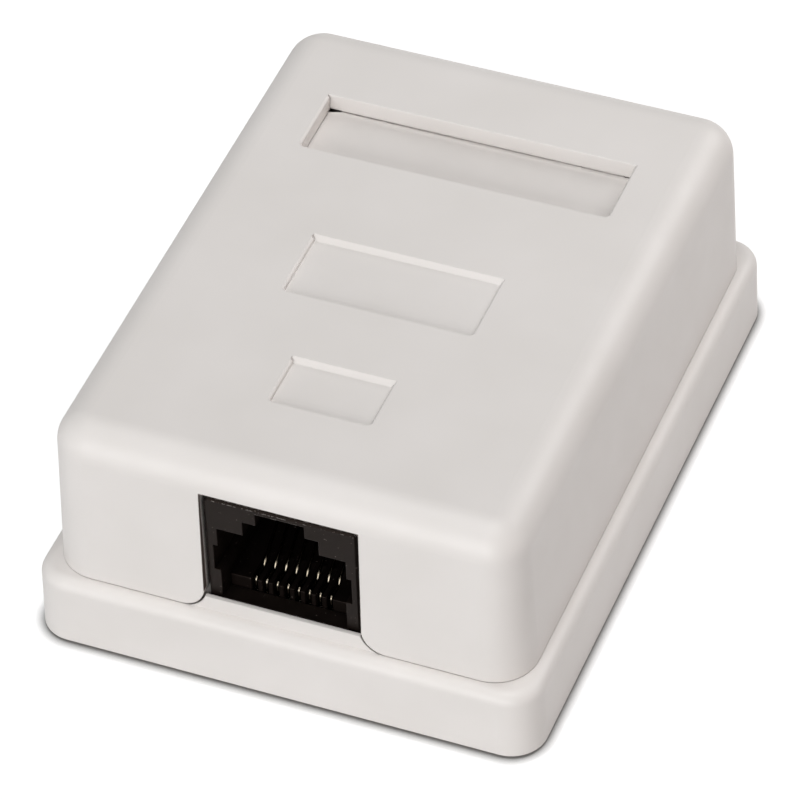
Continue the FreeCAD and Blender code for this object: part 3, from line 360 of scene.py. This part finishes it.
def makeBlackMoulding(look):
    material, tree, shader, plain = startFinish("black_moulding", look)
    shader.inputs["Specular IOR Level"].default_value = look["gloss"]
    shader.inputs["Specular Tint"].default_value = look["glossTint"]
    dust = specksOver(tree, look["dustGrain"], look["dustLevel"], look["speckRise"])
    dusty = blendColours(tree, dust, plain, look["dust"])
    # Paler specks along the sharp edges near the socket's top: wear, and a painted edge highlight
    edges = edgeLine(tree, look["paleEdgeWidth"], look["paleEdgeSpan"])
    edgeSpecks = specksOver(tree, look["paleEdgeGrain"], look["paleEdgeLevel"], look["speckRise"])
    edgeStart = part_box("jack_housing")[1][2] - look["paleEdgeReach"]
    topEdge = withinLimits(tree, [("Z", "GREATER_THAN", edgeStart)])
    paleEdge = addMath(tree, "MULTIPLY", addMath(tree, "MULTIPLY", edges, edgeSpecks), topEdge)
    tree.links.new(blendColours(tree, paleEdge, dusty, look["wearAndHighlight"]), shader.inputs["Base Color"])
    return material


dress(["jack_housing", "contact_carrier"], makeBlackMoulding(blackMoulding))
print("black moulding done")

# Pale moulding of the terminal blocks
paleMoulding = {
    "light": screenColour(226, 221, 206),
    "dark": screenColour(219, 213, 196),
    "patch": 3 * mm,
    "roughness": (0.35, 0.45),
    "sheenPatch": 3 * mm,
    "grain": 0.2 * mm,
    "grainDepth": 0.008 * mm,
    "grainStrength": 0.3,
    "edge": 0.15 * mm,
}
dress(["terminal_block_left", "terminal_block_right"], plainFinish("pale_moulding", paleMoulding))
print("pale moulding done")

# Circuit board: green lacquer, with the weave of the glass cloth as its grain
greenBoard = {
    "light": screenColour(38, 92, 52),
    "dark": screenColour(27, 74, 41),
    "patch": 4 * mm,
    "roughness": (0.2, 0.32),
    "sheenPatch": 4 * mm,
    "grain": 0.5 * mm,
    "grainDepth": 0.006 * mm,
    "grainStrength": 0.25,
    "edge": 0.08 * mm,
}
dress(["circuit_board"], plainFinish("green_board", greenBoard))
print("circuit board done")

# Plated metal: gold on the spring contacts, tin on the forks
# The gold is made dark and grey: painted shade for the wires, which lie deep inside the socket
goldWire = {
    "light": screenColour(134, 126, 113),
    "dark": screenColour(112, 104, 90),
    "metal": 1.0,
    "patch": 0.6 * mm,
    "roughness": (0.1, 0.16),
    "sheenPatch": 0.6 * mm,
    "grain": 0.12 * mm,
    "grainDepth": 0.003 * mm,
    "grainStrength": 0.25,
    "edge": 0.06 * mm,
}
tinnedFork = {
    "light": screenColour(206, 206, 203),
    "dark": screenColour(184, 184, 182),
    "metal": 1.0,
    "patch": 0.8 * mm,
    "roughness": (0.22, 0.36),
    "sheenPatch": 0.8 * mm,
    "grain": 0.12 * mm,
    "grainDepth": 0.003 * mm,
    "grainStrength": 0.25,
    "edge": 0.06 * mm,
}
places = range(1, 9)  # of the eight wires
goldFinish = plainFinish("gold_wire", goldWire)
dress([f"jack_contact_{place}" for place in places], goldFinish)
dress([f"terminal_contact_{place}" for place in places], plainFinish("tinned_fork", tinnedFork))
print("plating done")

# Spring wires: drawn wire on the line of the stamped springs, with the kink that a plug presses on
springWire = {
    "width": 0.34 * mm,
    "thickness": 0.32 * mm,
    "firstTail": 6.35 * mm,  # behind the socket face
    "tailPitch": 2.54 * mm,
    "footRun": 0.4 * mm,  # above the board
    "crest": 2.03 * mm,  # above the board
    "bend": 0.35 * mm,
    "dip": math.radians(15),
    "kinkPlace": 1.75 * mm,  # behind the front run
    "kinkRise": 0.6 * mm,
    "kinkSlope": math.radians(54),
    "kinkBend": 0.45 * mm,
    "slope": math.radians(34),
    "bendSteps": 8,
    "sides": 14,
}


# Points along a line of corners, each rounded with its radius
def roundCorners(corners, radii, steps):
    points = [corners[0]]
    for before, corner, after, radius in zip(corners, corners[1:], corners[2:], radii):
        back = (before - corner).normalized()
        ahead = (after - corner).normalized()
        half = back.angle(ahead) / 2
        reach = radius / math.tan(half)
        middle = corner + (back + ahead).normalized() * (radius / math.sin(half))
        first = (corner + back * reach - middle).normalized()
        last = (corner + ahead * reach - middle).normalized()
        for step in range(steps + 1):
            points.append(middle + first.slerp(last, step / steps) * radius)
    points.append(corners[-1])
    return points


# Up through the board, forward, over the crest, down to the kink and up to the tip
def wirePoints(place, node, look):
    low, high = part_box(node)
    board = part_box("circuit_board")[1][2]
    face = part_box("jack_housing")[0][1]
    across = (low[0] + high[0]) / 2
    tail = face + look["firstTail"] + (0 if place % 2 else look["tailPitch"])
    foot = board + look["footRun"]
    front = low[1] + look["thickness"] / 2
    crest = board + look["crest"]
    kink = front + look["kinkPlace"]
    kinkFoot = crest - look["kinkPlace"] * math.tan(look["dip"])
    kinkEnd = kink + look["kinkRise"] / math.tan(look["kinkSlope"])
    tip = high[1] - math.sin(look["slope"]) * look["thickness"] / 2
    tipRise = high[2] - math.cos(look["slope"]) * look["thickness"] / 2
    corners = [
        Vector((across, tail, low[2])),
        Vector((across, tail, foot)),
        Vector((across, front, foot)),
        Vector((across, front, crest)),
        Vector((across, kink, kinkFoot)),
        Vector((across, kinkEnd, kinkFoot + look["kinkRise"])),
        Vector((across, tip, tipRise)),
    ]
    radii = [look["bend"], look["bend"], look["bend"], look["kinkBend"], look["kinkBend"]]
    return roundCorners(corners, radii, look["bendSteps"])


def makeSpringWire(place, look, finish):
    node = f"jack_contact_{place}"
    points = wirePoints(place, node, look)
    sides = look["sides"]
    shape = bmesh.new()
    rings = []
    for index, point in enumerate(points):
        along = points[min(index + 1, len(points) - 1)] - points[max(index - 1, 0)]
        out = Vector((1, 0, 0)).cross(along).normalized()
        ring = []
        for side in range(sides):
            turn = 2 * math.pi * side / sides
            sideways = Vector((math.cos(turn) * look["width"] / 2, 0, 0))
            outwards = out * (math.sin(turn) * look["thickness"] / 2)
            ring.append(shape.verts.new(point + sideways + outwards))
        rings.append(ring)
    for ring, following in zip(rings, rings[1:]):
        for side in range(sides):
            after = (side + 1) % sides
            wall = shape.faces.new((ring[side], ring[after], following[after], following[side]))
            wall.smooth = True
    shape.faces.new(reversed(rings[0]))
    shape.faces.new(rings[-1])
    wire = addPiece(f"spring_wire_{place}", shape, finish)
    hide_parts(node)
    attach(wire, "base_unit")


for place in places:
    makeSpringWire(place, springWire, goldFinish)
print("spring wires done")

# Pale floor: plain white to the camera, and it keeps the shadow of the box
floor = {
    "size": 4.0,
    "drop": 0.03 * mm,
    "colour": (0.7, 0.7, 0.7, 1.0),
    "roughness": 1.0,
    "gloss": 0.0,
    "lift": 0.55,
    "liftColour": (1.0, 1.0, 1.0, 1.0),
    # Painted contact shadow on the floor close to the box
    "contactShadowColour": (0.36, 0.355, 0.35, 1.0),
    "contactReach": 1.15 * mm,
    "contactSpan": (1.0, 0.5),  # openness, from bare floor to the full painted contact shadow
    "contactSamples": 16,
}


def makeFloor(look):
    half = look["size"] / 2
    corners = [(-half, -half, 0), (half, -half, 0), (half, half, 0), (-half, half, 0)]
    mesh = bpy.data.meshes.new("floor")
    mesh.from_pydata(corners, [], [(0, 1, 2, 3)])
    piece = bpy.data.objects.new("floor", mesh)
    piece.location.z = -look["drop"]
    scene.collection.objects.link(piece)
    material, tree, shader = startMaterial("floor")
    shader.inputs["Roughness"].default_value = look["roughness"]
    shader.inputs["Specular IOR Level"].default_value = look["gloss"]
    shader.inputs["Emission Color"].default_value = look["liftColour"]
    # Close to the box the lift fades and the floor darkens, a painted contact shadow, so that the line
    # where it stands shows
    openFloor = openness(tree, look["contactReach"], look["contactSamples"])
    closeness = mapSpan(tree, openFloor, look["contactSpan"])
    seen = seenRays(tree)
    shade = addMath(tree, "MULTIPLY", closeness, seen)
    tone = blendColours(tree, shade, look["colour"], look["contactShadowColour"])
    tree.links.new(tone, shader.inputs["Base Color"])
    clear = addMath(tree, "SUBTRACT", seen, shade)
    tree.links.new(addMath(tree, "MULTIPLY", clear, look["lift"]), shader.inputs["Emission Strength"])
    mesh.materials.append(material)


makeFloor(floor)
print("floor done")

# Studio: weak room light, a low wide key in front, a lamp overhead, one at the rear right and a warm fill
studio = {
    "room": 0.08,
    "roomColour": (1.0, 0.995, 0.99, 1.0),
    "aim": Vector((0.0, 0.0, 12.0)) * mm,
    # name: degrees round from the front, degrees up, metres away, metres across, watts, colour
    "lamps": {
        "key": (-4, 17, 1.0, 0.7, 6.0, (1.0, 1.0, 1.0)),
        "top": (0, 82, 1.0, 0.5, 4.2, (1.0, 1.0, 1.0)),
        "rearRight": (145, 34, 0.36, 0.2, 0.46, (1.0, 0.99, 0.985)),
        "warmFill": (75, 8, 1.0, 0.6, 0.4, (1.0, 0.42, 0.2)),
    },
}


def makeStudio(look):
    world = bpy.data.worlds.new("room")
    scene.world = world
    world.use_nodes = True
    tree = world.node_tree
    background = tree.nodes["Background"]
    background.inputs["Color"].default_value = look["roomColour"]
    # White where it is seen, and weak as a light
    lift = addMath(tree, "MULTIPLY", seenRays(tree), 1 - look["room"])
    tree.links.new(addMath(tree, "ADD", lift, look["room"]), background.inputs["Strength"])
    for name, (around, up, distance, width, power, colour) in look["lamps"].items():
        lamp = bpy.data.lights.new(name, "AREA")
        lamp.shape = "DISK"
        lamp.size = width
        lamp.energy = power
        lamp.color = colour
        holder = bpy.data.objects.new(name, lamp)
        holder.matrix_world = standAt(look["aim"], around, up, distance)
        scene.collection.objects.link(holder)


makeStudio(studio)
print("studio done")

# Camera: a long lens, looking down on the front right corner
view = {
    "azimuth": 23.022,
    "elevation": 43.587,
    "roll": -2.422,
    "aim": Vector((0.97, -4.31, 12.0)) * mm,
    "distance": 473.7 * mm,
    "lens": 235.55,
    "sensor": 36.0,
    "nearest": 1 * mm,
}


def makeCamera(look):
    lens = bpy.data.cameras.new("camera")
    lens.lens = look["lens"]
    lens.sensor_width = look["sensor"]
    lens.clip_start = look["nearest"]
    holder = bpy.data.objects.new("camera", lens)
    holder.matrix_world = standAt(
        look["aim"], look["azimuth"], look["elevation"], look["distance"], look["roll"]
    )
    scene.collection.objects.link(holder)
    scene.camera = holder


makeCamera(view)
scene.view_settings.view_transform = "Standard"
print("camera done")
